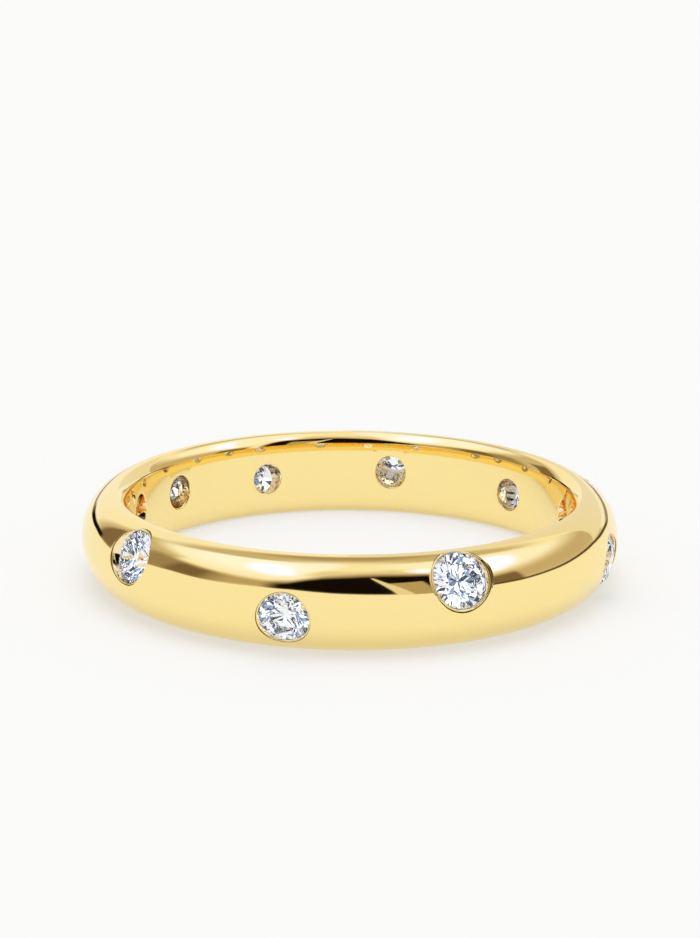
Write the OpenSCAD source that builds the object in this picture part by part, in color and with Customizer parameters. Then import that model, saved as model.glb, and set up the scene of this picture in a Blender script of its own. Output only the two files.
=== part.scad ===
// Flush set gypsy ring: a plain domed band with ten round brilliants let into it.
// It lies on its side. The finger hole runs along Z, and the lower side face is at Z = 0.
// The front of the ring is towards -Y.

/* [Band] */
// Diameter of the finger hole
finger_d = 17.2; // [15:0.1:22]
// Width of the band along the finger
band_w = 3.46; // [3.2:0.02:5]
// Thickness from the finger hole to the top of the dome
band_t = 1.81; // [1.7:0.01:2.4]
// Width of the flat side face, from the finger hole to the dome
side_w = 0.59; // [0.45:0.01:0.8]
// Slope of the dome where it leaves the side face, in degrees
dome_start = 10.6; // [4:0.1:16]
// Reach of the eased inner edge across the side face
ease_across = 0.4; // [0.05:0.01:0.44]
// Reach of the eased inner edge down the finger hole
ease_down = 0.72; // [0.1:0.01:0.8]

/* [Stones] */
// Girdle diameter of a full size stone
stone_d = 1.96; // [1.5:0.01:2.05]
// Width of the table as a percentage of the girdle diameter
table_pct = 57; // [53:1:64]
// Slope of the main facets above the girdle, in degrees
crown_angle = 34.5; // [32:0.1:36]
// Slope of the main facets below the girdle, in degrees
pavilion_angle = 40.8; // [39:0.1:42]
// Thickness of the girdle
girdle_t = 0.06; // [0.04:0.01:0.12]

/* [Seats] */
// Depth of a stone's table below the surface of the dome
table_sink = 0.06; // [0:0.01:0.1]
// Clearance between a stone and its seat
seat_gap = 0.02; // [0.01:0.005:0.04]
// Diameter of the hole behind a full size stone, through to the finger
hole_d = 1.28; // [0.9:0.01:1.4]

/* [Hidden] */
// One row for each stone, going round to the right from the front.
// turn: degrees from the front. height: share of band_w. size: share of stone_d and hole_d.
// lean: share of the dome's tilt that the seat follows, 1 where it is square to the dome.
SETTINGS = [
    [-13, 0.40, 0.92, 1],
    [23, 0.79, 1.03, 1],
    [72.5, 0.39, 1.05, 1],
    [100.5, 0.72, 1.00, 1],
    [130.5, 0.37, 1.00, 1],
    [168.5, 0.73, 1.00, 1],
    [204, 0.36, 0.96, 1],
    [234.5, 0.72, 1.00, 1],
    [256, 0.72, 1.00, 1],
    [308.4, 0.745, 0.98, 0.85]
];
function turn_of(row) = row[0];
function height_of(row) = row[1] * band_w;
function stone_r(row) = row[2] * stone_d / 2;
function hole_r(row) = row[2] * hole_d / 2;
function lean_of(row) = row[3];

// Steps round the band, along the dome and along an eased edge
round_steps = 180;
dome_steps = 28;
ease_steps = 8;

finger_r = finger_d / 2;
top_r = finger_r + band_t;

// The dome is part of an ellipse. It starts at the side faces with the slope dome_start.
dome_rise = band_t - side_w;
dome_half = band_w / 2;
start_ratio = dome_rise * tan(dome_start) / dome_half;
dome_across = dome_rise * (1 - start_ratio) / (1 - 2 * start_ratio);
dome_centre_r = top_r - dome_across;
dome_up = dome_half / sqrt(1 - pow(1 - dome_rise / dome_across, 2));
dome_reach = asin(dome_half / dome_up);

// Outline of the band's wall, as radius and height
dome_points = [
    for (i = [0 : dome_steps])
        let (a = dome_reach * (2 * i / dome_steps - 1))
        [dome_centre_r + dome_across * cos(a), dome_half + dome_up * sin(a)]
];
function eased(a) = [finger_r + ease_across * (1 - sin(a)), ease_down * (1 - cos(a))];
lower_edge = [for (i = [0 : ease_steps]) eased(90 - 90 * i / ease_steps)];
upper_edge = [for (i = [0 : ease_steps]) let (p = lower_edge[ease_steps - i]) [p[0], band_w - p[1]]];

// Place of a seat: the point on the dome at its height, and its tilt, which follows the dome's
function up_angle(row) = asin((height_of(row) - dome_half) / dome_up);
function seat_r(row) = dome_centre_r + dome_across * cos(up_angle(row));
function seat_tilt(row) = lean_of(row) * atan2(sin(up_angle(row)) / dome_up, cos(up_angle(row)) / dome_across);

// Puts its children on the dome, with their +Z pointing out of it
module at_seat(row) {
    rotate([0, 0, turn_of(row) - 90])
        translate([seat_r(row), 0, height_of(row)])
            rotate([0, 90 - seat_tilt(row), 0])
                children();
}

// Heights in a stone, from its table at 0 downwards
function crown_h(r) = r * (1 - table_pct / 100) * tan(crown_angle);
function girdle_top(r) = -crown_h(r);
function girdle_bottom(r) = girdle_top(r) - girdle_t;

// A round brilliant with its table at the origin. Eight main facets go round it, 45 degrees apart.
SIDES = 8;
HALF_STEP = 180 / SIDES;
// Points on the girdle for each half step
GIRDLE_POINTS = 2;
GIRDLE_ROUND = 2 * SIDES * GIRDLE_POINTS;
// Length of the star facets, and of the lower halves, as shares of the way they lie on
STAR_SHARE = 0.5;
LOWER_SHARE = 0.78;

function polar(r, a, z) = [r * cos(a), r * sin(a), z];

// Height over the point p of the plane through three points
function plane_z(a, b, c, p) =
    let (n = cross(b - a, c - a))
    a[2] - (n[0] * (p[0] - a[0]) + n[1] * (p[1] - a[1])) / n[2];

function star_point(r, a) =
    let (edge_mid = r * table_pct / 100 * cos(HALF_STEP))
    let (star_r = edge_mid + STAR_SHARE * (r - edge_mid))
    polar(star_r, a, girdle_top(r) + (r - star_r * cos(HALF_STEP)) * tan(crown_angle));

function lower_point(r, a) =
    let (lower_r = r * (1 - LOWER_SHARE))
    polar(lower_r, a, girdle_bottom(r) - (r - lower_r * cos(HALF_STEP)) * tan(pavilion_angle));

// A point on the edge of the girdle, in the plane of the half facet that it borders
function edge_point(r, i, z, tip) =
    let (half = floor(i / GIRDLE_POINTS))
    let (a = half * HALF_STEP, b = a + HALF_STEP, mid = half % 2 == 0 ? b : a)
    let (p = polar(r, i * HALF_STEP / GIRDLE_POINTS, z))
    i % GIRDLE_POINTS == 0 ? p : [p[0], p[1], plane_z(tip(r, mid), polar(r, a, z), polar(r, b, z), p)];

module brilliant(r) {
    table = [for (k = [0 : SIDES - 1]) polar(r * table_pct / 100, 2 * k * HALF_STEP, 0)];
    stars = [for (k = [0 : SIDES - 1]) star_point(r, (2 * k + 1) * HALF_STEP)];
    upper = [for (i = [0 : GIRDLE_ROUND - 1]) edge_point(r, i, girdle_top(r), function(r, a) star_point(r, a))];
    lower = [for (i = [0 : GIRDLE_ROUND - 1]) edge_point(r, i, girdle_bottom(r), function(r, a) lower_point(r, a))];
    tips = [for (k = [0 : SIDES - 1]) lower_point(r, (2 * k + 1) * HALF_STEP)];
    culet = [[0, 0, girdle_bottom(r) - r * tan(pavilion_angle)]];

    first_star = SIDES;
    first_upper = 2 * SIDES;
    first_lower = first_upper + GIRDLE_ROUND;
    first_tip = first_lower + GIRDLE_ROUND;
    culet_point = first_tip + SIDES;
    function next(k) = (k + 1) % SIDES;
    function last(k) = (k + SIDES - 1) % SIDES;
    function main_point(first, k) = first + 2 * k * GIRDLE_POINTS;
    function run(first, k, half) = [
        for (j = [0 : GIRDLE_POINTS]) first + ((2 * k + half) * GIRDLE_POINTS + j) % GIRDLE_ROUND
    ];
    function turned(list) = [for (j = [len(list) - 1 : -1 : 0]) list[j]];

    table_face = [[for (k = [SIDES - 1 : -1 : 0]) k]];
    star_faces = [for (k = [0 : SIDES - 1]) [k, next(k), first_star + k]];
    kite_faces = [for (k = [0 : SIDES - 1])
        [k, first_star + k, main_point(first_upper, k), first_star + last(k)]];
    upper_halves = [for (k = [0 : SIDES - 1], half = [0, 1])
        concat([first_star + k], turned(run(first_upper, k, half)))];
    girdle_faces = [for (i = [0 : GIRDLE_ROUND - 1]) let (j = (i + 1) % GIRDLE_ROUND)
        [first_upper + i, first_upper + j, first_lower + j, first_lower + i]];
    lower_halves = [for (k = [0 : SIDES - 1], half = [0, 1])
        concat([first_tip + k], run(first_lower, k, half))];
    main_faces = [for (k = [0 : SIDES - 1])
        [culet_point, first_tip + last(k), main_point(first_lower, k), first_tip + k]];

    polyhedron(
        points = concat(table, stars, upper, lower, tips, culet),
        faces = concat(table_face, star_faces, kite_faces, upper_halves, girdle_faces, lower_halves, main_faces)
    );
}

// What is cut out of the band for a stone: a straight wall down to the girdle,
// a cone under it, and a hole through to the finger
module seat_cut(row) {
    wall_r = stone_r(row) + seat_gap;
    back_r = hole_r(row);
    seat_z = girdle_bottom(stone_r(row)) - table_sink - seat_gap;
    back_z = seat_z - (wall_r - back_r) * tan(pavilion_angle);
    clear = stone_d;
    depth = 2 * band_t;
    rotate_extrude($fn = 64)
        polygon([[0, clear], [wall_r, clear], [wall_r, seat_z], [back_r, back_z], [back_r, -depth], [0, -depth]]);
}

module band() {
    color([0.93, 0.75, 0.38])
        difference() {
            rotate_extrude($fn = round_steps)
                polygon(concat(lower_edge, dome_points, upper_edge));
            for (row = SETTINGS)
                at_seat(row)
                    seat_cut(row);
        }
}

// The stones were turned by chance when they were set: each one TURNED_BY degrees more than the last
TURNED_BY = 17;
module stone(i) {
    color([0.90, 0.94, 1.00])
        at_seat(SETTINGS[i])
            translate([0, 0, -table_sink])
                rotate([0, 0, i * TURNED_BY])
                    brilliant(stone_r(SETTINGS[i]));
}

band();
stone(0);  // stone_01
stone(1);  // stone_02
stone(2);  // stone_03
stone(3);  // stone_04
stone(4);  // stone_05
stone(5);  // stone_06
stone(6);  // stone_07
stone(7);  // stone_08
stone(8);  // stone_09
stone(9);  // stone_10
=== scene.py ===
"""Looks of a flush set gypsy ring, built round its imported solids."""
import math

import bmesh
import bpy
from bpy.props import FloatProperty, FloatVectorProperty, IntProperty, PointerProperty
from mathutils import Matrix, Vector


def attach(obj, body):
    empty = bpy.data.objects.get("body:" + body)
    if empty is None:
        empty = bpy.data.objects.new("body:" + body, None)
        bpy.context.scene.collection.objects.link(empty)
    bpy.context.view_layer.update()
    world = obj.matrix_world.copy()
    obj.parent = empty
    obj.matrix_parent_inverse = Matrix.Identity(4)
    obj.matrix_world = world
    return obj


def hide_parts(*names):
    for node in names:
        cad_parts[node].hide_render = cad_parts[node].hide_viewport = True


bl_info = {
    "name": "Flush Set Gypsy Ring",
    "version": (1, 0, 0),
    "blender": (4, 5, 0),
    "location": "3D View > Sidebar > Ring",
    "description": "Builds a domed band with round brilliants let into it, and its studio",
    "category": "Add Mesh",
}

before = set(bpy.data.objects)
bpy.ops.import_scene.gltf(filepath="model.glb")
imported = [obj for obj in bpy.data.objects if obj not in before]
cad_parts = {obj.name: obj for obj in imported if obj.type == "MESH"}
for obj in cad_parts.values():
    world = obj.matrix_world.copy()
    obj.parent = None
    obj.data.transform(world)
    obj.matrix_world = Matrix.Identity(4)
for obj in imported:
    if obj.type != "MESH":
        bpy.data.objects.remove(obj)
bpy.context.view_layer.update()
MM = 0.001

# One row for each stone, going round to the right from the front: turn in degrees, height as a share
# of the band's width, size as a share of a full stone, share of the dome's tilt that the seat follows,
# width of the lip in mm, how far the seat's wall flares for each mm of its height, and how much deeper
# the stone sits than the others in mm
SEATS = [
    (-13.0, 0.40, 0.92, 1.0, 0.045, 0.0, 0.0),
    (23.0, 0.79, 1.03, 1.0, 0.090, 0.0, 0.0),
    (72.5, 0.39, 1.05, 1.0, 0.050, 0.0, 0.0),
    (100.5, 0.72, 1.00, 1.0, 0.055, 0.0, 0.04),
    (130.5, 0.37, 1.00, 1.0, 0.055, 0.0, 0.0),
    (168.5, 0.73, 1.00, 1.0, 0.055, 0.0, 0.04),
    (204.0, 0.36, 0.96, 1.0, 0.055, 0.0, 0.0),
    (234.5, 0.72, 1.00, 1.0, 0.055, 0.0, 0.04),
    (256.0, 0.72, 1.00, 1.0, 0.055, 0.0, 0.04),
    (308.4, 0.745, 0.98, 0.85, 0.050, 0.9, 0.0),
]
# The metal round a seat is pressed down towards the girdle: share of its height that stays
PRESSED = 0.62
# How far a lip stands back from the seat's wall, and its least height over the girdle and least width
LIP_BACK = 0.015
LEAST_LIP = 0.02


# Settings

class BandSizes(bpy.types.PropertyGroup):
    """Sizes of the band, in millimetres where they are lengths"""
    finger_d: FloatProperty(
        name="Finger hole", description="Diameter of the finger hole in mm", default=17.2, min=15)
    width: FloatProperty(
        name="Width", description="Width of the band along the finger in mm", default=3.46, min=2)
    thick: FloatProperty(
        name="Thickness", description="Thickness at the top of the dome in mm", default=1.81, min=1)
    side: FloatProperty(
        name="Side face", description="Width of the flat side face in mm", default=0.59, min=0.1)
    dome_start: FloatProperty(
        name="Dome start", description="Slope of the dome at the side face in degrees", default=10.6)
    dish: FloatProperty(
        name="Dish", description="Reach of the dish round a lip, for each mm of its depth",
        default=1.1, min=0.5)
    columns: IntProperty(name="Columns", description="Faces round the band", default=360, min=90)


class StoneSizes(bpy.types.PropertyGroup):
    """Sizes of the round brilliants and of their seats"""
    girdle_d: FloatProperty(
        name="Diameter", description="Girdle diameter of a full stone in mm", default=1.96, min=1)
    table: FloatProperty(
        name="Table", description="Table as a share of the diameter", default=0.57, min=0.4, max=0.7)
    crown: FloatProperty(name="Crown angle", description="Slope of the kites in degrees", default=34.5)
    pavilion: FloatProperty(name="Pavilion angle", description="Slope of the mains in degrees", default=40.8)
    girdle: FloatProperty(name="Girdle", description="Thickness of the girdle in mm", default=0.06)
    sink: FloatProperty(name="Sink", description="Least depth of a table below the dome in mm", default=0.04)
    gap: FloatProperty(name="Clearance", description="Gap between stone and seat in mm", default=0.02)
    hole_d: FloatProperty(name="Hole", description="Hole behind a full stone in mm", default=1.28)


class RingLooks(bpy.types.PropertyGroup):
    """Colours and finishes"""
    gold: FloatVectorProperty(
        name="Gold", description="Colour of the metal", subtype="COLOR", size=3,
        default=(1.0, 0.81, 0.355), min=0, max=1)
    polish: FloatProperty(
        name="Polish", description="Roughness of the polished metal", default=0.045, min=0, max=1)
    stone: FloatVectorProperty(
        name="Stone", description="Tint of the stones", subtype="COLOR", size=3,
        default=(0.95, 0.975, 1.0), min=0, max=1)
    floor: FloatVectorProperty(
        name="Floor", description="Colour of the floor", subtype="COLOR", size=3,
        default=(0.956, 0.954, 0.949), min=0, max=1)


# Shape of the dome and place of the seats

# Where the dome and the finger hole's wall are looked for, in mm from a seat's plane, and how often the way
# between is halved
DOME_SEARCH = (-1.6, 0.3, 24)
FINGER_SEARCH = (-3.2, -0.8, 40)
# The same for the edge between dome and side face, in mm from a seat's wall, and how near it a lip may come
CREASE_SEARCH = (0, 0.6, 12)
CREASE_MARGIN = 0.012


def bisect(is_low, low, high, rounds):
    """Narrows down the place between two numbers where is_low stops being true."""
    for _ in range(rounds):
        mid = (low + high) / 2
        if is_low(mid):
            low = mid
        else:
            high = mid
    return low


def far_side(angle):
    """0 where an angle is 0, rising softly to 1 on the opposite side."""
    return (0.5 - 0.5 * math.cos(angle)) ** 2


class Dome:
    """The band's outer surface: part of an ellipse swept round Z. Lengths are in mm."""

    def __init__(self, sizes):
        self.finger = sizes.finger_d / 2
        self.width = sizes.width
        self.half = sizes.width / 2
        rise = sizes.thick - sizes.side
        ratio = rise * math.tan(math.radians(sizes.dome_start)) / self.half
        self.across = rise * (1 - ratio) / (1 - 2 * ratio)
        self.centre = self.finger + sizes.thick - self.across
        self.up = self.half / math.sqrt(1 - (1 - rise / self.across) ** 2)
        self.reach = math.asin(self.half / self.up)

    def point(self, a):
        """The outline's point at an angle of the ellipse, as (r, z)."""
        return self.centre + self.across * math.cos(a), self.half + self.up * math.sin(a)

    def level(self, r, z):
        """1 on the dome, less inside it and more outside."""
        return ((r - self.centre) / self.across) ** 2 + ((z - self.half) / self.up) ** 2

    def settle(self, x, y, z):
        """The point of the dome straight out from the ellipse's centre through x, y, z."""
        r = math.hypot(x, y)
        a = math.atan2((z - self.half) / self.up, (r - self.centre) / self.across)
        a = max(-self.reach, min(self.reach, a))
        s, t = self.point(a)
        return x * s / r, y * s / r, t

    def normal(self, x, y, z):
        r = math.hypot(x, y)
        nr = (r - self.centre) / self.across ** 2
        nz = (z - self.half) / self.up ** 2
        n = math.hypot(nr, nz)
        return nr / n * x / r, nr / n * y / r, nz / n

    def outside(self, p):
        return self.level(math.hypot(p.x, p.y), p.z) > 1


class Seat:
    """Place of one stone: its middle on the dome and the directions across, along and out."""

    def __init__(self, dome, stones, row):
        turn, height, size, lean, lip, flare, deeper = row
        self.dome = dome
        self.r = size * stones.girdle_d / 2
        self.hole_r = size * stones.hole_d / 2
        a = math.asin((height * dome.width - dome.half) / dome.up)
        rho, z = dome.point(a)
        tilt = lean * math.atan2(math.sin(a) / dome.up, math.cos(a) / dome.across)
        self.turn = math.radians(turn)
        radial = Vector((math.sin(self.turn), -math.cos(self.turn), 0))
        self.middle = radial * rho + Vector((0, 0, z))
        self.out = radial * math.cos(tilt) + Vector((0, 0, math.sin(tilt)))
        self.across = Vector((math.cos(self.turn), math.sin(self.turn), 0))
        self.along = self.out.cross(self.across)
        self.angle = a
        self.lip = lip
        self.flare = flare
        self.wall_r = self.r + stones.gap
        self.sink = stones.sink + deeper
        self.girdle = -self.sink - self.r * (1 - stones.table) * math.tan(math.radians(stones.crown))

    def at(self, theta, rho, h):
        """The point at this direction and distance from the middle, and this height over the seat's plane."""
        beside = math.cos(theta) * self.across + math.sin(theta) * self.along
        return self.middle + rho * beside + h * self.out

    def theta(self, p):
        d = p - self.middle
        return math.atan2(d.dot(self.along), d.dot(self.across))

    def rim(self, theta):
        """Inner edge of the lip in this direction, as (distance from the middle, height)."""
        rho = self.wall_r + LIP_BACK
        over = max(0, self.dome_height(theta, rho) - self.girdle)
        # a lip that stood over the dome would show in the ring's outline
        flush = self.dome_height(theta, rho + self.lip) - CROWN
        top = self.girdle + LEAST_LIP + max(0, min(PRESSED * over, flush - self.girdle - LEAST_LIP))
        # a seat that flares does so on the side away from the front
        return rho + self.flare * far_side(theta) * PRESSED * over, top

    def crease(self, theta):
        """How far out the dome runs in this direction before the flat side face."""
        def on_dome(rho):
            z = self.at(theta, rho, self.dome_height(theta, rho)).z
            return CREASE_MARGIN < z < self.dome.width - CREASE_MARGIN

        near, far, rounds = CREASE_SEARCH
        return bisect(on_dome, self.wall_r + near, self.wall_r + far, rounds)

    def dome_height(self, theta, rho):
        """Height of the dome over the seat's plane, negative below it."""
        return bisect(lambda h: not self.dome.outside(self.at(theta, rho, h)), *DOME_SEARCH)

    def finger_height(self, theta, rho):
        """Height where the line at theta and rho comes out of the finger hole's wall."""
        def in_finger_hole(h):
            p = self.at(theta, rho, h)
            return math.hypot(p.x, p.y) <= self.dome.finger

        return bisect(in_finger_hole, *FINGER_SEARCH)

    def hole_end(self):
        """The middle of the hole's mouth in the finger hole."""
        return self.at(0, 0, self.finger_height(0, 0))


# Helpers for edit mode

def deselect():
    if bpy.context.object and bpy.context.object.mode != "OBJECT":
        bpy.ops.object.mode_set(mode="OBJECT")
    bpy.ops.object.select_all(action="DESELECT")


def activate(piece):
    deselect()
    piece.select_set(True)
    bpy.context.view_layer.objects.active = piece


def edit(piece, kind="VERT"):
    activate(piece)
    bpy.ops.object.mode_set(mode="EDIT")
    bpy.ops.mesh.select_mode(type=kind)
    bpy.ops.mesh.select_all(action="DESELECT")
    return bmesh.from_edit_mesh(piece.data)


def leave():
    bpy.ops.object.mode_set(mode="OBJECT")


def close_up(threshold):
    """Joins vertices nearer than the threshold, turns all faces outwards and leaves edit mode."""
    bpy.ops.mesh.select_all(action="SELECT")
    bpy.ops.mesh.remove_doubles(threshold=threshold)
    bpy.ops.mesh.normals_make_consistent(inside=False)
    leave()


def name_piece(name):
    piece = bpy.context.object
    piece.name = name
    piece.data.name = name
    return piece


def only_material(piece, material):
    piece.data.materials.clear()
    piece.data.materials.append(material)


# Materials

def node_material(name, values):
    """A material whose shader has these values, with its nodes, links and shader."""
    material = bpy.data.materials.new(name)
    material.use_nodes = True
    nodes = material.node_tree.nodes
    shader = nodes["Principled BSDF"]
    for socket, value in values.items():
        shader.inputs[socket].default_value = value
    return material, nodes, material.node_tree.links, shader


def noise(nodes, links, scale, detail=2.0):
    """Noise that is fixed to the object."""
    place = nodes.new("ShaderNodeTexCoord")
    texture = nodes.new("ShaderNodeTexNoise")
    texture.inputs["Scale"].default_value = scale
    texture.inputs["Detail"].default_value = detail
    links.new(place.outputs["Object"], texture.inputs["Vector"])
    return texture.outputs["Fac"]


def gold_material(looks):
    """Polished yellow gold with the faint waves and hairlines of hand polishing."""
    material, nodes, links, shader = node_material("polished_gold", {
        "Metallic": 1.0, "Base Color": (*looks.gold, 1)})
    waves = noise(nodes, links, 420, 1.0)
    hairlines = noise(nodes, links, 5200, 3.0)
    rough = nodes.new("ShaderNodeMapRange")
    rough.inputs["To Min"].default_value = looks.polish * 0.7
    rough.inputs["To Max"].default_value = looks.polish * 1.4
    links.new(hairlines, rough.inputs["Value"])
    links.new(rough.outputs["Result"], shader.inputs["Roughness"])
    soft = nodes.new("ShaderNodeBump")
    soft.inputs["Strength"].default_value = 0.05
    soft.inputs["Distance"].default_value = 0.0002
    links.new(waves, soft.inputs["Height"])
    links.new(soft.outputs["Normal"], shader.inputs["Normal"])
    return material


# Golds that waver between two tones: roughness, fineness of the patches, darker tone and lighter tone
TONED_GOLDS = {
    # under a stone, paler than the outside because it is cut bright and not polished down
    "bright_cut_gold": (0.05, 3800, (0.74, 0.80, 0.90), (0.86, 0.90, 0.96)),
    # in the groove round a lip: painted shade, a dark tone that stands in for the shade in the groove, on
    # rougher metal
    "groove_painted_shade_gold": (0.45, 2600, (0.10, 0.055, 0.015), (0.30, 0.19, 0.06)),
    # in the hole behind a stone
    "drilled_gold": (0.06, 4200, (0.80, 0.73, 0.63), (0.94, 0.88, 0.79)),
    # inside a lip and at a hole's end: painted reflection, deeper in colour to stand in for gold reflecting
    # gold there
    "painted_reflection_gold": (0.07, 3200, (0.94, 0.74, 0.43), (1.0, 0.85, 0.56)),
}


def toned_gold(name, roughness, fineness, darker, lighter):
    material, nodes, links, shader = node_material(name, {"Metallic": 1.0, "Roughness": roughness})
    tone = nodes.new("ShaderNodeMix")
    tone.data_type = "RGBA"
    tone.inputs["A"].default_value = (*darker, 1)
    tone.inputs["B"].default_value = (*lighter, 1)
    links.new(noise(nodes, links, fineness), tone.inputs["Factor"])
    links.new(tone.outputs["Result"], shader.inputs["Base Color"])
    return material


def band_finishes(looks):
    """The band's materials, in the order of the finishes' numbers: polished, bright cut, the groove's painted
    shade, drilled, and the painted reflection inside a lip and at a hole's end.
    """
    return [gold_material(looks)] + [toned_gold(name, *row) for name, row in TONED_GOLDS.items()]


def stone_material(looks):
    """Clear cut stone with the refraction of diamond."""
    return node_material("cut_stone", {
        "Base Color": (*looks.stone, 1), "Roughness": 0.0, "IOR": 2.42, "Transmission Weight": 1.0,
        "Specular Tint": (0.34, 0.40, 0.50, 1)})[0]


# Share of the floor's brightness that it owes to the room, and brightness of the glow that makes up the rest
FLOOR_SHADE = 0.45
FLOOR_LIGHT = 0.985


def floor_material(looks):
    """A dull pale floor that glows softly, so the shadow on it stays light."""
    return node_material("pale_floor", {
        "Base Color": (*(FLOOR_SHADE * c for c in looks.floor), 1), "Emission Color": (*looks.floor, 1),
        "Emission Strength": FLOOR_LIGHT * (1 - FLOOR_SHADE), "Roughness": 0.9, "Specular IOR Level": 0.0})[0]


# The band

# The inner edge: a long shallow easing up the finger hole's wall, then a round edge in two bends.
# Depths are below the side face and slopes are from it, in mm and degrees.
EASE_DEPTH = 0.72
EDGE_DEPTH = 0.40
BEND_DEPTH = 0.22
EASE_REACH = 0.026
EDGE_SLOPE, BEND_SLOPE, LAND_SLOPE = 72, 52, 30
EASE_ROWS = 8
DOME_ROWS = 40
WALL_ROWS = 24
LAND_ROWS = 3
# Vertices of the spun band that lie nearer than this are one, in metres
SEAM = 0.5e-6


def bend(steep, gentle, deep, shallow, start):
    """An arc from a steep slope deep down to a gentle one higher up, as (distance from the wall, depth)."""
    steep, gentle = math.radians(steep), math.radians(gentle)
    radius = (deep - shallow) / (math.cos(gentle) - math.cos(steep))
    points = []
    for i in range(EASE_ROWS + 1):
        a = steep + (gentle - steep) * i / EASE_ROWS
        out, up = math.sin(steep) - math.sin(a), math.cos(a) - math.cos(steep)
        points.append((start + radius * out, deep - radius * up))
    return points


def inner_edge():
    """Inner edge of a side face, from the wall out: the easing, and the round edge."""
    easing = []
    for i in range(EASE_ROWS + 1):
        s = i / EASE_ROWS
        easing.append((EASE_REACH * (2 * s + s * s) / 3, EASE_DEPTH + (EDGE_DEPTH - EASE_DEPTH) * s))
    lower = bend(EDGE_SLOPE, BEND_SLOPE, EDGE_DEPTH, BEND_DEPTH, EASE_REACH)
    upper = bend(BEND_SLOPE, LAND_SLOPE, BEND_DEPTH, 0, lower[-1][0])
    return easing, lower + upper[1:]


def band_runs(dome, sizes):
    """The outline of the band's wall as smooth runs of (r, z), each starting where the last ended."""
    easing, rounding = inner_edge()
    f, w = dome.finger, dome.width
    low, high = EASE_DEPTH, w - EASE_DEPTH
    crease = f + sizes.side
    land = f + rounding[-1][0]
    runs = [
        [(f, high + (low - high) * i / WALL_ROWS) for i in range(WALL_ROWS + 1)],
        [(f + x, y) for x, y in easing],
        [(f + x, y) for x, y in rounding],
        [(land + (crease - land) * i / LAND_ROWS, 0) for i in range(LAND_ROWS + 1)],
        [dome.point(dome.reach * (2 * i / DOME_ROWS - 1)) for i in range(DOME_ROWS + 1)],
    ]
    return runs + [[(r, w - z) for r, z in reversed(runs[k])] for k in (3, 2, 1)]


# Places of the finger hole's wall and of the dome among the runs
WALL_RUN, DOME_RUN = 0, 4


def run_normals(run):
    """Outward normals of a run, as (r, z)."""
    found = []
    for i in range(len(run)):
        a = run[max(i - 1, 0)]
        b = run[min(i + 1, len(run) - 1)]
        dr, dz = b[0] - a[0], b[1] - a[1]
        n = math.hypot(dr, dz)
        found.append((dz / n, -dr / n))
    return found


def spin_band(runs, columns):
    """The plain band: a ring of edges set on the outline and spun round Z."""
    outline = [p for run in runs for p in run[:-1]]
    deselect()
    bpy.ops.mesh.primitive_circle_add(vertices=len(outline), radius=MM)
    band = name_piece("gold_band")
    for vertex, (r, z) in zip(band.data.vertices, outline):
        vertex.co = (0, -r * MM, z * MM)
    edit(band)
    bpy.ops.mesh.select_all(action="SELECT")
    bpy.ops.mesh.spin(steps=columns, angle=2 * math.pi, center=(0, 0, 0), axis=(0, 0, 1))
    close_up(SEAM)
    return band


def turn_of(p):
    return math.atan2(p.x, -p.y)


def open_windows(band, windows):
    """Removes the faces in each window, given as (turn, half turn, test of r and z)."""
    mesh = edit(band, "FACE")
    for face in mesh.faces:
        p = face.calc_center_median()
        r = math.hypot(p.x, p.y) / MM
        z = p.z / MM
        for turn, half_turn, inside in windows:
            off = (turn_of(p) - turn + math.pi) % (2 * math.pi) - math.pi
            if abs(off) < half_turn and inside(r, z):
                face.select = True
                break
    bmesh.update_edit_mesh(band.data)
    bpy.ops.mesh.delete(type="FACE")
    leave()


def bezier(t, *points):
    """A place on the curve with these three corners."""
    return tuple(a * (1 - t) ** 2 + 2 * b * t * (1 - t) + c * t * t for a, b, c in zip(*points))


# Rings across the dish, across each third of the lip and across the rounded mouth of a hole, whose radius
# is MOUTH, and cuts between a lining and the dome
DISH_STEPS = 9
LIP_STEPS = 3
MOUTH_STEPS = 3
MOUTH = 0.05
DOME_CUTS = 4
# The groove's depth and width, how far the bead's crown stands over its inner edge, the least width of
# the dish, and how far the ground outside the groove may stand over the bead
GROOVE = 0.03
CROWN = 0.008
FOOT = 0.05
BANK = 0.05
# The groove, and so its painted shade, is largest at the lower left: its least share, the most that is added,
# and the opposite direction
GROOVE_LEAST = 0.7
GROOVE_MORE = 0.9
GROOVE_AWAY = math.pi / 3
# Flat part of the groove's floor, as a share of its width, and the lip's width where there is little room,
# as a share of the way to its foot
GROOVE_FLAT = 0.3
LIP_SHARE = 0.6
# How far below its crown a lip's inside ends and the seat's wall begins, as shares of the lip's width. The
# wall begins no higher than WALL_RISE over the girdle.
LIP_INSIDE = 0.5
WALL_BELOW = 0.6
WALL_RISE = 0.01
# Finishes of the band, and which strips of a seat's lining have them, counted from the dome inwards. The
# SHADED strips in the groove are painted shade.
POLISHED, BRIGHT_CUT, SHADED, DRILLED, PAINTED_REFLECTION = range(5)
# strips 17, 18 and 22, inside a lip and at a hole's end, have the painted reflection of gold in gold
FINISH_OF_STRIP = {10: SHADED, 11: SHADED, 12: SHADED, 17: PAINTED_REFLECTION, 18: PAINTED_REFLECTION, 19: BRIGHT_CUT,
                   20: BRIGHT_CUT, 21: DRILLED, 22: PAINTED_REFLECTION}
# How much of the hole behind a stone has the painted reflection, from the finger inwards
PAINTED_REFLECTION_DEPTH = 0.6


def groove_at(theta):
    """Depth and width of the groove in this direction."""
    return GROOVE * (GROOVE_LEAST + GROOVE_MORE * far_side(theta - GROOVE_AWAY))


def lip_foot(seat, sizes, theta):
    """Where the dish round a lip begins in this direction."""
    rim, top = seat.rim(theta)
    outer = rim + seat.lip + groove_at(theta)
    depth = max(0, seat.dome_height(theta, outer) - top - BANK)
    return max(min(outer + FOOT + sizes.dish * depth, seat.crease(theta)), rim + LEAST_LIP)


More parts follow.
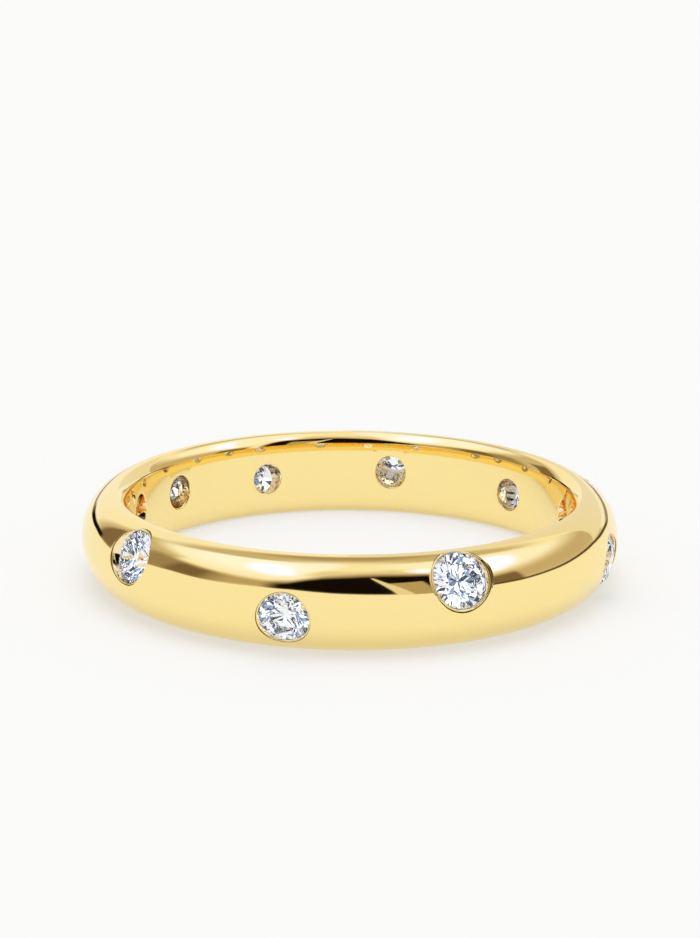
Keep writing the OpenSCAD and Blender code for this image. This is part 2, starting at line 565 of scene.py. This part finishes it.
def lip_rings(seat, sizes):
    """Rings across the lip, as functions of theta: a soft dish in the dome, a fine groove, a rounded bead."""
    known = {}

    def corners(theta):
        key = round(theta, 3)
        if key not in known:
            known[key] = find_corners(theta)
        return known[key]

    def find_corners(theta):
        rim, top = seat.rim(theta)
        foot = lip_foot(seat, sizes, theta)
        outer = min(rim + seat.lip, rim + LIP_SHARE * (foot - rim))
        groove = groove_at(theta)
        edge = min(outer + groove, foot)
        ground = min(seat.dome_height(theta, edge), top + BANK)
        drop = seat.dome_height(theta, edge) - ground
        half = (edge + foot) / 2
        dish = ((foot, seat.dome_height(theta, foot)), (half, seat.dome_height(theta, half)),
                (half, seat.dome_height(theta, half) - drop), (edge, ground))
        bead = ((edge, ground), (outer + GROOVE_FLAT * groove, ground), (outer, ground - groove),
                (outer, top + CROWN), ((outer + rim) / 2, top + CROWN),
                (rim, top + CROWN), (rim, top - LIP_INSIDE * seat.lip))
        return dish, bead

    def dish_ring(t):
        def place(theta):
            a, b, c, d = corners(theta)[0]
            return tuple(p * (1 - t) + q * t for p, q in zip(bezier(t, a, b, c), bezier(t, b, c, d)))
        return place

    def bead_ring(first, t):
        def place(theta):
            return bezier(t, *corners(theta)[1][first:first + 3])
        return place

    found = [dish_ring(i / DISH_STEPS) for i in range(DISH_STEPS + 1)]
    for first in (0, 2, 4):
        found += [bead_ring(first, (i + 1) / LIP_STEPS) for i in range(LIP_STEPS)]
    return found


def seat_rings(seat, sizes, stones):
    """From the dome down to the finger hole, one function of theta for each ring, giving (rho, h)."""
    ledge = seat.girdle - stones.girdle - stones.gap
    cone_end = ledge - (seat.wall_r - seat.hole_r) * math.tan(math.radians(stones.pavilion))

    def wall(theta):
        return seat.wall_r, min(seat.girdle + WALL_RISE, seat.rim(theta)[1] - WALL_BELOW * seat.lip)

    def mouth(t):
        def ring(theta):
            r = seat.hole_r
            corner, end = seat.finger_height(theta, r), seat.finger_height(theta, r + MOUTH)
            return bezier(t, (r, corner + MOUTH), (r, corner), (r + MOUTH, end))
        return ring

    rings = lip_rings(seat, sizes)
    rings.append(wall)
    rings.append(lambda theta: (seat.wall_r, ledge))
    rings.append(lambda theta: (seat.hole_r, cone_end))
    rings.append(lambda theta: (seat.hole_r, seat.finger_height(theta, seat.hole_r) + PAINTED_REFLECTION_DEPTH))
    rings += [mouth(i / MOUTH_STEPS) for i in range(MOUTH_STEPS + 1)]
    return rings


def make_seat(seat, sizes, stones, count, finishes):
    """The lining of a seat: a circle on the dome, extruded ring by ring down to the finger hole."""
    rings = seat_rings(seat, sizes, stones)
    deselect()
    bpy.ops.mesh.primitive_circle_add(vertices=count, radius=MM)
    lining = name_piece("seat_lining")
    for i, vertex in enumerate(lining.data.vertices):
        theta = 2 * math.pi * i / count
        vertex.co = seat.at(theta, *rings[0](theta)) * MM
    edit(lining, "EDGE")
    bpy.ops.mesh.select_all(action="SELECT")
    for ring in rings[1:]:
        bpy.ops.mesh.extrude_edges_move()
        mesh = bmesh.from_edit_mesh(lining.data)
        for vertex in mesh.verts:
            if vertex.select:
                theta = seat.theta(vertex.co / MM)
                vertex.co = seat.at(theta, *ring(theta)) * MM
        bmesh.update_edit_mesh(lining.data)
    leave()
    for material in finishes:
        lining.data.materials.append(material)
    for face in lining.data.polygons:
        face.material_index = FINISH_OF_STRIP.get(face.index // count, POLISHED)
    return lining


def loop_edges(mesh):
    """Open edges of a mesh, as connected loops."""
    open_edges = {e for e in mesh.edges if len(e.link_faces) == 1}
    loops = []
    while open_edges:
        found = []
        queue = [open_edges.pop()]
        while queue:
            edge = queue.pop()
            found.append(edge)
            for vertex in edge.verts:
                for other in vertex.link_edges:
                    if other in open_edges:
                        open_edges.remove(other)
                        queue.append(other)
        loops.append(found)
    return loops


def loop_middle(loop):
    total = Vector()
    for edge in loop:
        total += edge.verts[0].co + edge.verts[1].co
    return total / (2 * len(loop))


def bridge_pair(band, near, cuts=0, settle=None):
    """Bridges the two open loops nearest to a point and settles the vertices that the cuts add."""
    mesh = edit(band, "EDGE")
    loops = loop_edges(mesh)
    loops.sort(key=lambda loop: (loop_middle(loop) - near).length)
    for loop in loops[:2]:
        for edge in loop:
            edge.select = True
    bmesh.update_edit_mesh(band.data)
    before = len(mesh.verts)
    bpy.ops.mesh.bridge_edge_loops(type="SINGLE", number_cuts=cuts, interpolation="LINEAR", smoothness=0)
    mesh = bmesh.from_edit_mesh(band.data)
    mesh.verts.ensure_lookup_table()
    for vertex in mesh.verts[before:]:
        vertex.co = Vector(settle(*(vertex.co / MM))) * MM
    bmesh.update_edit_mesh(band.data)
    leave()


# A vertex that lies nearer to a surface than this is on it, in mm
NEAR = 0.002
# Edges between faces that differ by more than this many degrees stay sharp
SHARP = 40


def set_normals(band, runs, dome):
    """Gives the polished surfaces their exact normals, so that reflections run without ripples."""
    table = {}
    for k, run in enumerate(runs):
        for p, n in zip(run, run_normals(run)):
            table.setdefault((round(p[0], 3), round(p[1], 3)), {})[k] = n
    mesh = band.data
    base = [Vector(n.vector) for n in mesh.corner_normals]
    on_dome, on_wall, keys = [], [], []
    for vertex in mesh.vertices:
        x, y, z = vertex.co / MM
        r = math.hypot(x, y)
        on_dome.append(abs(dome.level(r, z) - 1) < NEAR)
        on_wall.append(abs(r - dome.finger) < NEAR)
        keys.append((round(r, 3), round(z, 3)))
    for face in mesh.polygons:
        corners = list(face.vertices)
        known = [set(table.get(keys[v], {})) for v in corners]
        shared = set.intersection(*known) if all(known) else set()
        flat = shared - {DOME_RUN, WALL_RUN}
        for corner, v in zip(face.loop_indices, corners):
            x, y, z = mesh.vertices[v].co / MM
            r = math.hypot(x, y)
            if flat:
                nr, nz = table[keys[v]][min(flat)]
                base[corner] = Vector((nr * x / r, nr * y / r, nz))
            elif on_dome[v]:
                base[corner] = Vector(dome.normal(x, y, z))
            elif on_wall[v]:
                base[corner] = Vector((-x / r, -y / r, 0))
    mesh.normals_split_custom_set(base)


# Room left round a seat in its window: share of the seat's reach over the dome's bulge and what is added, in
# radians of the ellipse, and what is added at the sides, in mm
WINDOW_SHARE = 0.9
WINDOW_MORE = 0.2
WINDOW_SIDE = 0.1
# Half the window of a hole in the finger hole's wall, in degrees round the band and in mm along the finger
EXIT_TURN = 5.7
EXIT_HEIGHT = 0.95
# Faces nearer to the finger hole's wall than this aren't the dome's, in mm
DOME_FROM = 0.6


def seat_windows(seat, sizes):
    """The windows of a seat in the dome and in the finger hole's wall, both on whole columns of faces."""
    dome = seat.dome
    step = 2 * math.pi / sizes.columns
    middle = (math.floor(seat.turn / step) + 0.5) * step
    reach = (seat.wall_r + seat.lip + FOOT) / dome.across * WINDOW_SHARE + WINDOW_MORE
    low, high = seat.angle - reach, min(seat.angle + reach, dome.reach)
    foot = max(lip_foot(seat, sizes, theta) for theta in (0, math.pi))
    half_turn = math.asin((foot + WINDOW_SIDE) / math.hypot(seat.middle.x, seat.middle.y)) + step / 2
    exit_z = seat.hole_end().z

    def in_dome(r, z):
        if r < dome.finger + DOME_FROM:
            return False
        a = math.atan2((z - dome.half) / dome.up, (r - dome.centre) / dome.across)
        return low < a < high

    def in_wall(r, z):
        return r < dome.finger + NEAR and abs(z - exit_z) < EXIT_HEIGHT

    return [(middle, half_turn, in_dome), (middle, math.radians(EXIT_TURN), in_wall)]


def line_seats(band, seats, sizes, stones, finishes):
    """Sets a lining in each window of the dome and joins it to the band there and in the finger hole."""
    mesh = edit(band)
    counts = [(len(loop), loop_middle(loop) / MM) for loop in loop_edges(mesh)]
    leave()
    linings = []
    for seat in seats:
        count = min(counts, key=lambda c: (c[1] - seat.middle).length)[0]
        linings.append(make_seat(seat, sizes, stones, count, finishes))
    activate(band)
    for lining in linings:
        lining.select_set(True)
    bpy.ops.object.join()
    for seat in seats:
        bridge_pair(band, seat.middle * MM, DOME_CUTS, seat.dome.settle)
        bridge_pair(band, seat.hole_end() * MM)
    edit(band)
    bpy.ops.mesh.select_all(action="SELECT")
    bpy.ops.mesh.normals_make_consistent(inside=False)
    leave()


class RING_OT_band(bpy.types.Operator):
    """Builds the gold band with its seats and the holes behind the stones"""
    bl_idname = "ring.band"
    bl_label = "Band"

    def execute(self, context):
        sizes = context.scene.ring_band
        stones = context.scene.ring_stones
        dome = Dome(sizes)
        runs = band_runs(dome, sizes)
        band = spin_band(runs, sizes.columns)
        seats = [Seat(dome, stones, row) for row in SEATS]
        open_windows(band, [window for seat in seats for window in seat_windows(seat, sizes)])
        finishes = band_finishes(context.scene.ring_looks)
        only_material(band, finishes[POLISHED])
        line_seats(band, seats, sizes, stones, finishes)
        activate(band)
        bpy.ops.object.shade_smooth_by_angle(angle=math.radians(SHARP))
        set_normals(band, runs, dome)
        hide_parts("band")
        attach(band, "root")
        return {"FINISHED"}


# The stones

# Main facets round a stone, and lengths of its stars and lower halves as shares of the way they lie on
SIDES = 8
STAR_SHARE = 0.5
LOWER_SHARE = 0.78
# Faces round the cylinder that a stone is cut from, its length for each metre of the stone's, the distance
# within which a cut takes a vertex to be on its plane, and the one within which two vertices are one
STONE_ROUND = 96
STONE_SPARE = 1.02
ON_CUT = 1e-6
STONE_SEAM = 2e-5
# Each stone is turned by this many degrees more than the last
TURNED_BY = 17


def polar(r, a, z):
    return Vector((r * math.cos(a), r * math.sin(a), z))


def facet_planes(stones, radius):
    """Planes of a round brilliant with a girdle of radius 1 and its table at height 0, and its depth.

    Each plane is a point and a normal.
    """
    crown = math.tan(math.radians(stones.crown))
    pavilion = math.tan(math.radians(stones.pavilion))
    top = -(1 - stones.table) * crown
    bottom = top - stones.girdle / radius
    half = math.pi / SIDES
    planes = []

    def sloping(p, a, slope, up):
        planes.append((p, Vector((slope * math.cos(a), slope * math.sin(a), up)).normalized()))

    def through(a, b, c, up):
        n = (b - a).cross(c - a).normalized()
        planes.append((a, n if n.z * up > 0 else -n))

    for k in range(SIDES):
        a = 2 * k * half
        mid = a + half
        edge_mid = stones.table * math.cos(half)
        star_r = edge_mid + STAR_SHARE * (1 - edge_mid)
        star = polar(star_r, mid, top + (1 - star_r * math.cos(half)) * crown)
        table_a, table_b = polar(stones.table, a, 0), polar(stones.table, a + 2 * half, 0)
        sloping(table_a, a, crown, 1)
        through(table_a, table_b, star, 1)
        for first in (a, mid):
            through(star, polar(1, first, top), polar(1, first + half, top), 1)
        lower_r = 1 - LOWER_SHARE
        low = polar(lower_r, mid, bottom - (1 - lower_r * math.cos(half)) * pavilion)
        sloping(polar(1, a, bottom), a, pavilion, -1)
        for first in (a, mid):
            through(low, polar(1, first, bottom), polar(1, first + half, bottom), -1)
    return planes, pavilion - bottom


def cut_brilliant(stones):
    """One stone with a girdle of radius 1 m: a cylinder cut down facet by facet."""
    planes, depth = facet_planes(stones, stones.girdle_d / 2)
    depth *= STONE_SPARE
    deselect()
    bpy.ops.mesh.primitive_cylinder_add(vertices=STONE_ROUND, radius=1, depth=depth,
                                        location=(0, 0, -depth / 2))
    stone = name_piece("brilliant")
    bpy.ops.object.transform_apply(location=True, rotation=True, scale=True)
    edit(stone)
    for point, normal in planes:
        bpy.ops.mesh.select_all(action="SELECT")
        bpy.ops.mesh.bisect(plane_co=point, plane_no=normal, use_fill=True, clear_outer=True,
                            threshold=ON_CUT)
    close_up(STONE_SEAM)
    return stone


class RING_OT_stones(bpy.types.Operator):
    """Cuts one round brilliant and sets a copy in each seat"""
    bl_idname = "ring.stones"
    bl_label = "Stones"

    def execute(self, context):
        stones = context.scene.ring_stones
        dome = Dome(context.scene.ring_band)
        master = cut_brilliant(stones)
        material = stone_material(context.scene.ring_looks)
        for i, row in enumerate(SEATS):
            seat = Seat(dome, stones, row)
            stone = master.copy()
            stone.data = master.data.copy()
            context.scene.collection.objects.link(stone)
            node = "stone_%02d" % (i + 1)
            stone.name = stone.data.name = "brilliant_%02d" % (i + 1)
            place = Matrix((seat.across, seat.along, seat.out)).transposed().to_4x4()
            place.translation = (seat.middle - seat.out * seat.sink) * MM
            spin = Matrix.Rotation(math.radians(TURNED_BY * i), 4, "Z")
            stone.data.transform(place @ spin @ Matrix.Scale(seat.r * MM, 4))
            only_material(stone, material)
            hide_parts(node)
            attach(stone, "root")
        bpy.data.objects.remove(master)
        return {"FINISHED"}


# The studio

# Camera: focal length and picture size in pixels, distance from the ring's axis and the height that it looks
# at in mm, elevation and roll in degrees, and where the middle of the ring falls in the picture
FOCAL_PX = 2296.24
LONG_SIDE_PX = 938
SHORT_SIDE_PX = 700
SENSOR_MM = 36
EYE_DISTANCE = 89.711
EYE_ELEVATION = 16.29
LOOK_HEIGHT = 1.8
LOOK_PX = (350.218, 528.22)
ROLL = 0.406
# Nearest and farthest that it sees, in metres
CLIP = (0.001, 10)

FLOOR_RADIUS = 3.0
FLOOR_ROUND = 96
# Bounces of light: in all and through stones, and between polished surfaces
BOUNCES = 24
GLOSSY_BOUNCES = 12


def turned(a, b, angle):
    """Two directions at right angles, turned from the first one away from the second."""
    return math.cos(angle) * a - math.sin(angle) * b, math.cos(angle) * b + math.sin(angle) * a


def camera_matrix():
    """The camera stands in front and looks down at the ring, with the ring's middle at LOOK_PX."""
    e = math.radians(EYE_ELEVATION)
    eye = Vector((0, -EYE_DISTANCE * math.cos(e), EYE_DISTANCE * math.sin(e) + LOOK_HEIGHT))
    ahead = Vector((0, math.cos(e), -math.sin(e)))
    right = Vector((1, 0, 0))
    up = right.cross(ahead)
    yaw = math.atan((LOOK_PX[0] - SHORT_SIDE_PX / 2) / FOCAL_PX)
    pitch = math.atan((LOOK_PX[1] - LONG_SIDE_PX / 2) / FOCAL_PX)
    ahead, right = turned(ahead, right, yaw)
    ahead, up = turned(ahead, up, -pitch)
    right, up = turned(right, up, -math.radians(ROLL))
    matrix = Matrix((right, up, -ahead)).transposed().to_4x4()
    matrix.translation = eye * MM
    return matrix


class Room:
    """A world painted by direction: pale all round, with soft lights and dark panels let into it."""

    def __init__(self, world):
        world.use_nodes = True
        self.nodes = world.node_tree.nodes
        self.links = world.node_tree.links
        self.direction = self.nodes.new("ShaderNodeTexCoord").outputs["Generated"]
        split = self.nodes.new("ShaderNodeSeparateXYZ")
        self.links.new(self.direction, split.inputs[0])
        turn = self.math("ARCTAN2", split.outputs["X"], self.times(split.outputs["Y"], -1))
        self.az = self.times(turn, 180 / math.pi)
        self.el = self.times(self.math("ARCSINE", split.outputs["Z"]), 180 / math.pi)

    def math(self, operation, *values):
        node = self.nodes.new("ShaderNodeMath")
        node.operation = operation
        for socket, value in zip(node.inputs, values):
            if isinstance(value, (int, float)):
                socket.default_value = value
            else:
                self.links.new(value, socket)
        return node.outputs[0]

    def times(self, a, b):
        return self.math("MULTIPLY", a, b)

    def step(self, value, edge, soft):
        """0 below an edge and 1 above it, over a soft width."""
        node = self.nodes.new("ShaderNodeMapRange")
        node.interpolation_type = "SMOOTHSTEP"
        self.links.new(self.math("SUBTRACT", value, edge), node.inputs["Value"])
        node.inputs["From Min"].default_value = -soft / 2
        node.inputs["From Max"].default_value = soft / 2
        return node.outputs["Result"]

    def fade(self, value, edge, soft):
        """1 below an edge and 0 above it, over a soft width."""
        return self.math("SUBTRACT", 1, self.step(value, edge, soft))

    def line(self, *points):
        """A height that follows points of (azimuth, elevation) joined by straight lines."""
        node = self.nodes.new("ShaderNodeFloatCurve")
        self.links.new(self.math("MULTIPLY_ADD", self.az, 1 / 360, 0.5), node.inputs["Value"])
        curve = node.mapping.curves[0]
        node.mapping.use_clip = False
        for i, (az, el) in enumerate(points):
            x, y = az / 360 + 0.5, el / 180 + 0.5
            # a new curve has two points
            if i < 2:
                curve.points[i].location = (x, y)
            else:
                curve.points.new(x, y)
        for point in curve.points:
            point.handle_type = "VECTOR"
        node.mapping.update()
        return self.times(self.math("SUBTRACT", node.outputs[0], 0.5), 180)

    def panel(self, west, east, low, high, soft, soft_side):
        """How much of a panel is in this direction. Its low and high edges are numbers or lines."""
        found = self.times(self.step(self.az, west, soft_side), self.fade(self.az, east, soft_side))
        found = self.times(found, self.step(self.el, low, soft))
        return self.times(found, self.fade(self.el, high, soft))

    def mix(self, base, colour, amount):
        node = self.nodes.new("ShaderNodeMix")
        node.data_type = "RGBA"
        self.links.new(amount, node.inputs["Factor"])
        for socket, value in ((node.inputs["A"], base), (node.inputs["B"], colour)):
            if isinstance(value, tuple):
                socket.default_value = (*value, 1)
            else:
                self.links.new(value, socket)
        return node.outputs["Result"]

    def tint(self, colour, tint):
        node = self.nodes.new("ShaderNodeVectorMath")
        node.operation = "MULTIPLY"
        self.links.new(colour, node.inputs[0])
        node.inputs[1].default_value = tint
        return node.outputs["Vector"]

    def glow(self, colour):
        if colour.type == "SHADER":
            return colour
        node = self.nodes.new("ShaderNodeBackground")
        self.links.new(colour, node.inputs["Color"])
        return node.outputs[0]

    def choose(self, one, other, amount):
        """One view of the room, or the other where amount is 1."""
        node = self.nodes.new("ShaderNodeMixShader")
        self.links.new(amount, node.inputs["Fac"])
        self.links.new(self.glow(one), node.inputs[1])
        self.links.new(self.glow(other), node.inputs[2])
        return node.outputs[0]


def paint_room(room):
    """Soft lights and dark panels round the ring, above the pale floor.

    Lines are points of (azimuth, elevation) and panels go from west to east and from low to high, in degrees.
    Azimuth 0 is behind the camera, and it grows to the right.
    """
    horizon = room.line((-180, 0), (-157, 0), (-151, 0.6), (-138, 4), (-120, 4), (-91, 14), (-82, 17),
                        (-66, 18.6), (-57, 20), (-39, 24), (-25, 25), (-4, 21.4), (11, 19.5), (25, 17),
                        (32, 16), (62, 13), (75, 10), (98, 7.6), (115, 7.3), (126, 6.4), (141, 3), (150, 0),
                        (180, 0))
    black = (0.006, 0.004, 0.003)
    glow = (1.3, 1.28, 3.0)
    sky = (0.965, 0.99, 1.0)

    def lay(colour, west, east, low, high, soft, soft_side):
        nonlocal sky
        sky = room.mix(sky, colour, room.panel(west, east, low, high, soft, soft_side))

    # the room above the floor, brighter overhead on the left
    lay((1.02, 1.18, 1.75), -170, -28, 48, 88, 24, 30)
    lay((0.99, 1.10, 1.40), 60, 128, 34, 80, 12, 16)
    # back, behind the ring
    away = room.math("ABSOLUTE", room.az)
    back = room.times(room.step(room.el, 46, 12), room.fade(room.el, 74, 18))
    sky = room.mix(sky, (0.60, 0.53, 0.43), room.times(back, room.step(away, 134, 14)))
    middle = room.times(room.step(away, 166, 18), room.fade(room.el, 64, 14))
    sky = room.mix(sky, (0.42, 0.35, 0.26), room.times(back, middle))
    lay((0.62, 0.56, 0.46), -142, -95, 8, 44, 9, 8)
    # left wall, and the light over it
    lay((0.50, 0.42, 0.30), -100, -28, horizon, 38, 9, 8)
    lay((0.33, 0.27, 0.19), -108, -60, horizon, 37, 9, 14)
    lay((0.19, 0.14, 0.09), -86, -67, horizon, 36, 9, 8)
    low = room.line((-180, 70), (-100, 68), (-80, 63), (-60, 56), (-45, 52), (-36, 55), (180, 55))
    high = room.line((-180, 76), (-100, 76), (-75, 75), (-50, 71), (-36, 62), (180, 62))
    lay(glow, -104, -34, low, high, 7, 10)
    # right wall, and the lights over it
    lay((0.58, 0.50, 0.41), 58, 140, horizon, 32, 16, 4)
    lay((0.20, 0.15, 0.10), 60, 78, horizon, 28, 8, 4)
    low = room.line((-180, 36), (75, 36), (90, 41), (105, 48), (115, 53), (180, 53))
    high = room.line((-180, 43), (75, 43), (90, 53), (105, 60), (115, 60), (180, 60))
    lay(glow, 72, 116, low, high, 6, 6)
    lay(glow, 42, 66, 60, 69, 5, 8)
    lay((0.10, 0.07, 0.045), 61, 152, horizon, room.math("ADD", horizon, 3), 1.8, 3)
    # the pale end of the right wall has a round edge
    arc = room.line((-180, 0), (126, 7), (131, 14), (135, 22), (140, 30), (146, 36), (157, 41), (180, 43))
    lay((0.85, 0.85, 0.84), 127, 200, 9, arc, 2.5, 2)
    # the dark front, behind the camera, paler overhead
    lay((0.80, 0.76, 0.70), -26, 46, 58, 74, 10, 16)
    top = room.line((-180, 33), (-40, 33), (-30, 38), (-22, 48), (-15, 54.5), (-5, 58), (8, 61), (20, 61),
                    (32, 58), (44, 54), (56, 46), (180, 40))
    lay((0.30, 0.24, 0.17), -38, 50, horizon, room.math("ADD", top, 5), 12, 8)
    lay(black, -35, 50, horizon, room.math("SUBTRACT", top, 1), 7, 8)
    # what stands in it on the right
    lay((0.47, 0.40, 0.27), 19, 36, horizon, 42, 3, 2)
    west = room.line((-180, 90), (11, 90), (12.3, 56), (20, 19), (21, -10), (180, -10))
    east = room.line((-180, 57), (13.7, 57), (27, 19), (180, 19))
    blade = room.times(room.panel(11, 27, horizon, east, 2, 1), room.step(room.el, west, 2))
    sky = room.mix(sky, (0.82, 0.80, 0.70), blade)
    # streaks low on the left
    lay((0.22, 0.16, 0.11), -136, -119, 4, 30, 5, 5)
    low, high = room.math("SUBTRACT", horizon, 1), room.math("ADD", horizon, 4.5)
    lay(black, -156, -131, low, high, 2, 4)
    # thin brown lines that draw the outer edges of the dome far back
    lay((0.34, 0.29, 0.26), 148, 168, -2, 4.4, 2.5, 6)
    lay((0.34, 0.29, 0.26), -169, -153, -2, 3.2, 2.5, 6)
    sky = room.tint(sky, (1.0, 0.965, 0.95))
    # the pale floor ends at a crisp edge
    return room.mix((0.965, 0.955, 0.95), sky, room.step(room.el, horizon, 1.0))


# Sparkle: patches for each unit of direction, and where on a scale from 0 to 1 they turn grey and navy
PATCHES = 3.6
GREY_FROM, NAVY_FROM, PATCH_SOFT = 0.60, 0.77, 0.02
# A dark place in front, in a bright ring in a grey one: its direction, and each edge's cosine and softness
DARK_PLACE = (0, -0.96, 0.28)
GREY_RING, BRIGHT_RING, DARK_MIDDLE = (0.80, 0.02), (0.88, 0.02), (0.965, 0.01)


def paint_for_stones(room):
    """What the stones sparkle with: bright windows, blue-grey and navy shades, and a dark place in front."""
    bright, grey, navy = (1.5, 1.58, 1.74), (0.30, 0.39, 0.60), (0.004, 0.009, 0.032)
    cells = room.nodes.new("ShaderNodeTexVoronoi")
    cells.inputs["Scale"].default_value = PATCHES
    room.links.new(room.direction, cells.inputs["Vector"])
    pick = room.nodes.new("ShaderNodeSeparateColor")
    room.links.new(cells.outputs["Color"], pick.inputs["Color"])
    colour = room.mix(bright, grey, room.step(pick.outputs["Red"], GREY_FROM, PATCH_SOFT))
    colour = room.mix(colour, navy, room.step(pick.outputs["Red"], NAVY_FROM, PATCH_SOFT))
    aim = room.nodes.new("ShaderNodeVectorMath")
    aim.operation = "DOT_PRODUCT"
    room.links.new(room.direction, aim.inputs[0])
    aim.inputs[1].default_value = DARK_PLACE
    near = aim.outputs["Value"]
    colour = room.mix(colour, grey, room.step(near, *GREY_RING))
    colour = room.mix(colour, bright, room.step(near, *BRIGHT_RING))
    return room.mix(colour, navy, room.step(near, *DARK_MIDDLE))


def paint_soft_light(room):
    """What lights the floor: an even light from overhead that fades towards the horizon."""
    return room.mix((0.62, 0.62, 0.62), (3.0, 3.0, 3.0), room.step(room.el, 66, 30))


class RING_OT_studio(bpy.types.Operator):
    """Lays the floor, lights the room and sets up the camera"""
    bl_idname = "ring.studio"
    bl_label = "Studio"

    def execute(self, context):
        scene = context.scene
        deselect()
        bpy.ops.mesh.primitive_circle_add(vertices=FLOOR_ROUND, radius=FLOOR_RADIUS, fill_type="NGON")
        floor = name_piece("floor")
        only_material(floor, floor_material(scene.ring_looks))

        world = bpy.data.worlds.new("room")
        scene.world = world
        room = Room(world)
        path = room.nodes.new("ShaderNodeLightPath")
        seen = room.choose(paint_room(room), paint_for_stones(room), path.outputs["Is Transmission Ray"])
        seen = room.choose(seen, paint_soft_light(room), path.outputs["Is Diffuse Ray"])
        room.links.new(seen, room.nodes["World Output"].inputs["Surface"])
        world.cycles.sampling_method = "NONE"

        data = bpy.data.cameras.new("camera")
        camera = bpy.data.objects.new("camera", data)
        scene.collection.objects.link(camera)
        data.sensor_width = SENSOR_MM
        data.lens = FOCAL_PX * SENSOR_MM / LONG_SIDE_PX
        data.clip_start, data.clip_end = CLIP
        camera.matrix_world = camera_matrix()
        scene.camera = camera
        scene.view_settings.view_transform = "Standard"
        scene.cycles.max_bounces = BOUNCES
        scene.cycles.transmission_bounces = BOUNCES
        scene.cycles.glossy_bounces = GLOSSY_BOUNCES
        return {"FINISHED"}


# The add-on

class RING_PT_panel(bpy.types.Panel):
    """Panel that lists what the add-on builds"""
    bl_idname = "RING_PT_panel"
    bl_label = "Gypsy Ring"
    bl_space_type = "VIEW_3D"
    bl_region_type = "UI"
    bl_category = "Ring"

    def draw(self, context):
        layout = self.layout
        for group in (context.scene.ring_band, context.scene.ring_stones, context.scene.ring_looks):
            column = layout.column(align=True)
            for name in group.__annotations__:
                column.prop(group, name)
        for operator in (RING_OT_band, RING_OT_stones, RING_OT_studio):
            layout.operator(operator.bl_idname)


CLASSES = (BandSizes, StoneSizes, RingLooks, RING_OT_band, RING_OT_stones, RING_OT_studio, RING_PT_panel)


def register():
    for cls in CLASSES:
        bpy.utils.register_class(cls)
    bpy.types.Scene.ring_band = PointerProperty(type=BandSizes)
    bpy.types.Scene.ring_stones = PointerProperty(type=StoneSizes)
    bpy.types.Scene.ring_looks = PointerProperty(type=RingLooks)


def unregister():
    for name in ("ring_looks", "ring_stones", "ring_band"):
        delattr(bpy.types.Scene, name)
    for cls in reversed(CLASSES):
        bpy.utils.unregister_class(cls)


def main():
    register()
    bpy.ops.ring.band()
    bpy.ops.ring.stones()
    bpy.ops.ring.studio()


if __name__ == "__main__":
    main()
